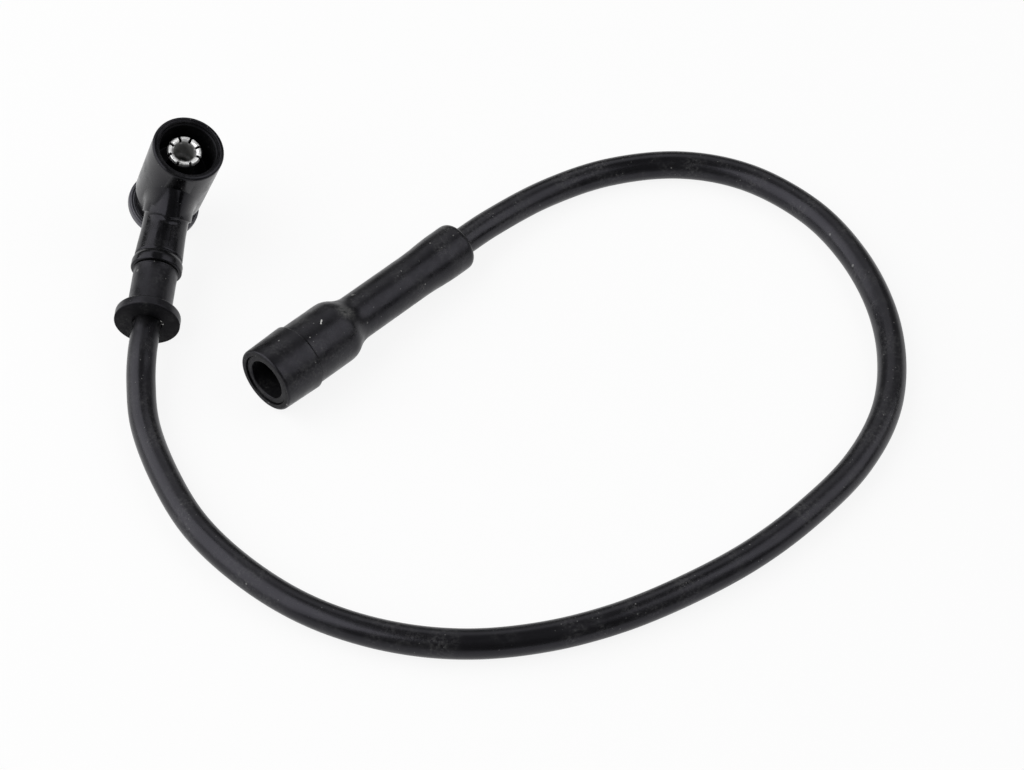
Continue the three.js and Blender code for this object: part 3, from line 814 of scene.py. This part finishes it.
RIVET_HEAD_RADIUS = 2.2
rivet = lathe("rivet", rounded([
    (0, 2.3),
    (RIVET_HEAD_RADIUS, 2.3, 0.4),
    (RIVET_HEAD_RADIUS, 3.1),
    (RIVET_RADIUS, 3.1),
    (RIVET_RADIUS, 7.75),
    (RIVET_HEAD_RADIUS, 7.75, 0.1),
    (RIVET_HEAD_RADIUS, 8.2, 0.5),
    (1.2, 8.45, 0.3),
    (0, 8.45),
]), count=64)
place(rivet, ELBOW)
dress(rivet, wire, "spring_steel", "terminal_rivet")


# Coil boot: a moulded rubber sleeve with a step, a slim shank and a flared cable end

BOOT_STEP_RADIUS = 8.52
SLEEVE_RADIUS = 8
SHANK_RADIUS = 5.75
SHANK_START = 27.7
SHANK_END = 51.8
FLARE_RADIUS = 6.2
LINER_END = 22.3
LINER_SEAT_RADIUS = 6.7
LINER_SEAT_END = LINER_END + GAP
CONTACT_BORE_RADIUS = 4.6
boot = lathe("coil_boot_moulding", rounded([
    (LINER_SEAT_RADIUS, 0, 0.15),
    (BOOT_MOUTH_RADIUS, 0, 0.6),
    (BOOT_STEP_RADIUS, BOOT_STEP, 0.06),
    (SLEEVE_RADIUS - 0.15, BOOT_STEP + 0.1, 0.05),
    (SLEEVE_RADIUS, BOOT_STEP + 0.6, 0.1),
    (SLEEVE_RADIUS, 23.7, 1.6),
    (SHANK_RADIUS, SHANK_START, 2.2),
    (SHANK_RADIUS, SHANK_END, 3),
    (FLARE_RADIUS, 57.5, 3),
    (FLARE_RADIUS, BOOT_LENGTH, 1.8),
    (3.95, BOOT_LENGTH, 0.3),
    (3.6, BOOT_LENGTH - 0.6),
    (CABLE_HOLE_RADIUS, BOOT_LENGTH - 1.5),
    (CABLE_HOLE_RADIUS, 44),
    (CONTACT_BORE_RADIUS, 42.8),
    (CONTACT_BORE_RADIUS, 27),
    (5.3, 26.2),
    (5.3, LINER_SEAT_END),
    (LINER_SEAT_RADIUS, LINER_SEAT_END),
]), "X", count=144)
place(boot, COIL)
dress(boot, rubber, "boot_rubber", "coil_boot")

liner = lathe("boot_liner_sleeve", rounded([
    (LINER_BORE_RADIUS, LINER_START, 0.35),
    (LINER_RADIUS, LINER_START, 0.25),
    (LINER_RADIUS, LINER_END, 0.2),
    (LINER_BORE_RADIUS, LINER_END, 0.2),
]), "X")
place(liner, COIL)
dress(liner, rubber, "boot_rubber", "boot_liner")

CONTACT_SLOTS = 4
CONTACT_SLOT_WIDTH = 0.8
CONTACT_FIRST_OPEN = 5
CONTACT_WALL = 0.5
contact_line = [Vector(p) for p in (
    (4.05, 40), (4.05, 31), (2.4, 29.5), (2.4, 26), (3.9, 24), (3.9, 23), (3.9, 18.9), (3.6, 18.5),
    (3.6, 17.2), (3.9, 16.8), (3.9, 14.6), (4.05, 14),
)]
contact = slotted_cup("coil_contact", contact_line, CONTACT_SLOTS, CONTACT_SLOT_WIDTH, CONTACT_FIRST_OPEN,
                      CONTACT_WALL, along="X", columns=16)
place(contact, COIL, sharp=40)
dress(contact, brass, "brass", "coil_terminal")

RING_RADIUS = 4.45
RING_MIDDLE = 17.85
RING_WIRE_RADIUS = 0.3
RING_SIDES = 16
ring_angles = [2 * math.pi * k / RING_SIDES for k in range(RING_SIDES)]
ring = lathe("contact_spring", [
    (RING_RADIUS + RING_WIRE_RADIUS * math.cos(angle), RING_MIDDLE + RING_WIRE_RADIUS * math.sin(angle))
    for angle in ring_angles
], "X", count=96)
place(ring, COIL, sharp=60)
dress(ring, wire, "spring_steel", "terminal_spring")


# Pieces that stay as the CAD model has them, inside the connectors

for node_name, material in (
    ("elbow_terminal", inner_brass),
    ("cable_end_elbow", inner_jacket),
    ("cable_end_coil", inner_jacket),
):
    for material_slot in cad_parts[node_name].material_slots:
        material_slot.material = material


# Surface, lamps and surroundings

FLOOR_COLOUR = (0.9, 0.9, 0.9, 1)
FLOOR_WHITE_SHARE = 0.88
FLOOR_HALF = 6


def white_surface():
    """A matte white that takes shadows, mixed with plain white where the camera or a mirror sees it."""
    material = bpy.data.materials.new("white_surface")
    material.use_nodes = True
    tree = material.node_tree
    tree.nodes.clear()
    matte = tree.nodes.new("ShaderNodeBsdfDiffuse")
    matte.inputs["Color"].default_value = FLOOR_COLOUR
    plain = tree.nodes.new("ShaderNodeEmission")
    plain.inputs["Color"].default_value = WHITE
    rays = tree.nodes.new("ShaderNodeLightPath")
    seen = tree.nodes.new("ShaderNodeMath")
    seen.operation = "MAXIMUM"
    tree.links.new(rays.outputs["Is Camera Ray"], seen.inputs[0])
    tree.links.new(rays.outputs["Is Glossy Ray"], seen.inputs[1])
    also = tree.nodes.new("ShaderNodeMath")
    also.operation = "MAXIMUM"
    tree.links.new(seen.outputs[0], also.inputs[0])
    tree.links.new(rays.outputs["Is Transmission Ray"], also.inputs[1])
    share = tree.nodes.new("ShaderNodeMath")
    share.operation = "MULTIPLY"
    share.inputs[1].default_value = FLOOR_WHITE_SHARE
    tree.links.new(also.outputs[0], share.inputs[0])
    mixed = tree.nodes.new("ShaderNodeMixShader")
    tree.links.new(share.outputs[0], mixed.inputs["Fac"])
    tree.links.new(matte.outputs[0], mixed.inputs[1])
    tree.links.new(plain.outputs[0], mixed.inputs[2])
    output = tree.nodes.new("ShaderNodeOutputMaterial")
    tree.links.new(mixed.outputs[0], output.inputs["Surface"])
    return material


floor = mesh_object("floor", [
    (x * FLOOR_HALF, y * FLOOR_HALF, 0) for x, y in ((-1, -1), (1, -1), (1, 1), (-1, 1))
], [(0, 1, 2, 3)])
floor.data.materials.append(white_surface())

# Where the lamps are aimed, and the camera's directions over the floor: away from it and to its right
MIDDLE = Vector((0.02, -0.06, 0.01))
AHEAD = Vector((0.7214, 0.6925, 0))
RIGHT = Vector((0.6925, -0.7214, 0))


def soft_box(name, azimuth, elevation, distance, width, height, radiance):
    """A flat lamp facing the object. Azimuth 0 is the camera's side, and 90 is to its right."""
    a, e = math.radians(azimuth), math.radians(elevation)
    flat = RIGHT * math.sin(a) - AHEAD * math.cos(a)
    out = flat * math.cos(e) + Vector((0, 0, math.sin(e)))
    data = bpy.data.lights.new(name, "AREA")
    data.shape = "RECTANGLE"
    data.size, data.size_y = width, height
    data.energy = radiance * math.pi * width * height
    lamp = bpy.data.objects.new(name, data)
    lamp.location = MIDDLE + out * distance
    lamp.rotation_euler = (-out).to_track_quat("-Z", "Y").to_euler()
    bpy.context.collection.objects.link(lamp)


soft_box("lamp_left", azimuth=-85, elevation=38, distance=1.0, width=1.5, height=1.3, radiance=2.2)
soft_box("lamp_right", azimuth=90, elevation=42, distance=1.0, width=0.8, height=0.9, radiance=1.65)
soft_box("lamp_back", azimuth=180, elevation=45, distance=1.2, width=1.0, height=0.6, radiance=0.9)

WORLD_STRENGTH = 0.15
world = bpy.data.worlds.new("surroundings")
world.use_nodes = True
background = world.node_tree.nodes["Background"]
background.inputs["Color"].default_value = WHITE
background.inputs["Strength"].default_value = WORLD_STRENGTH
bpy.context.scene.world = world
